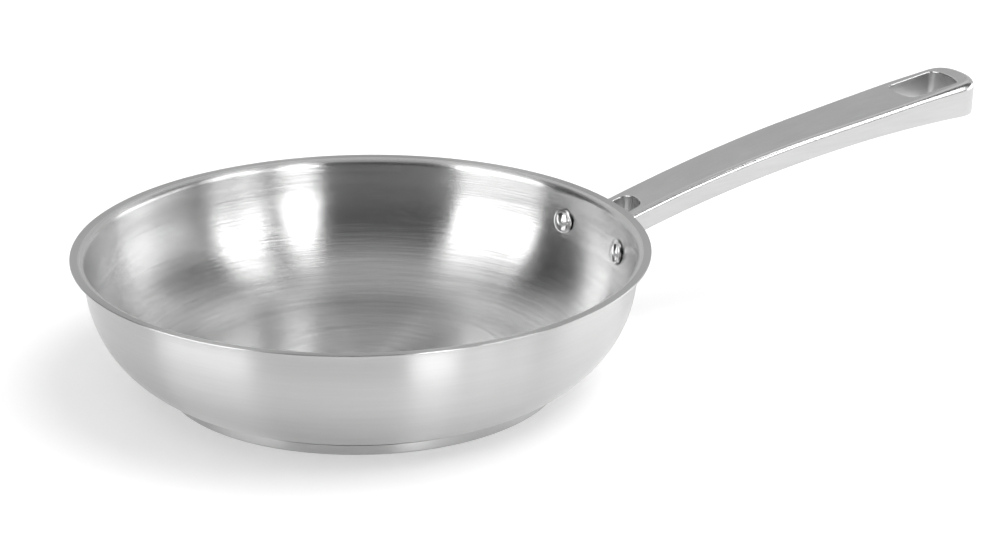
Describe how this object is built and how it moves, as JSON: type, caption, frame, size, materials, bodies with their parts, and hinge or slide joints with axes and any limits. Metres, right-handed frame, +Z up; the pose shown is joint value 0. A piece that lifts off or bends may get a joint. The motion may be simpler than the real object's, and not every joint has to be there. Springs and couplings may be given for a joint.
{
  "type": "frying pan",
  "caption": "Shallow round stainless steel frying pan with a pouring lip, an encapsulated base and a long riveted handle with a hanging hole.",
  "frame": {"origin": "centre of the base's underside, on the surface that the pan stands on", "axes": "+Z up, out of the bowl; +X along the handle, from the pan towards the handle's tip; +Y completes the right-handed frame, across the handle"},
  "size_m": [0.429, 0.24, 0.0874],
  "materials": {
    "shell_stainless": "circular brushed inside, satin outside",
    "core_aluminium": "plain, hidden inside the base",
    "base_stainless": "satin",
    "handle_stainless": "satin, with polished edges",
    "rivet_stainless": "mirror polished"
  },
  "bodies": {
    "root": {"pan_shell": "shell_stainless", "heat_spreader": "core_aluminium", "base_cap": "base_stainless", "handle": "handle_stainless", "rivet_left": "rivet_stainless", "rivet_right": "rivet_stainless"}
  },
  "joints": []
}
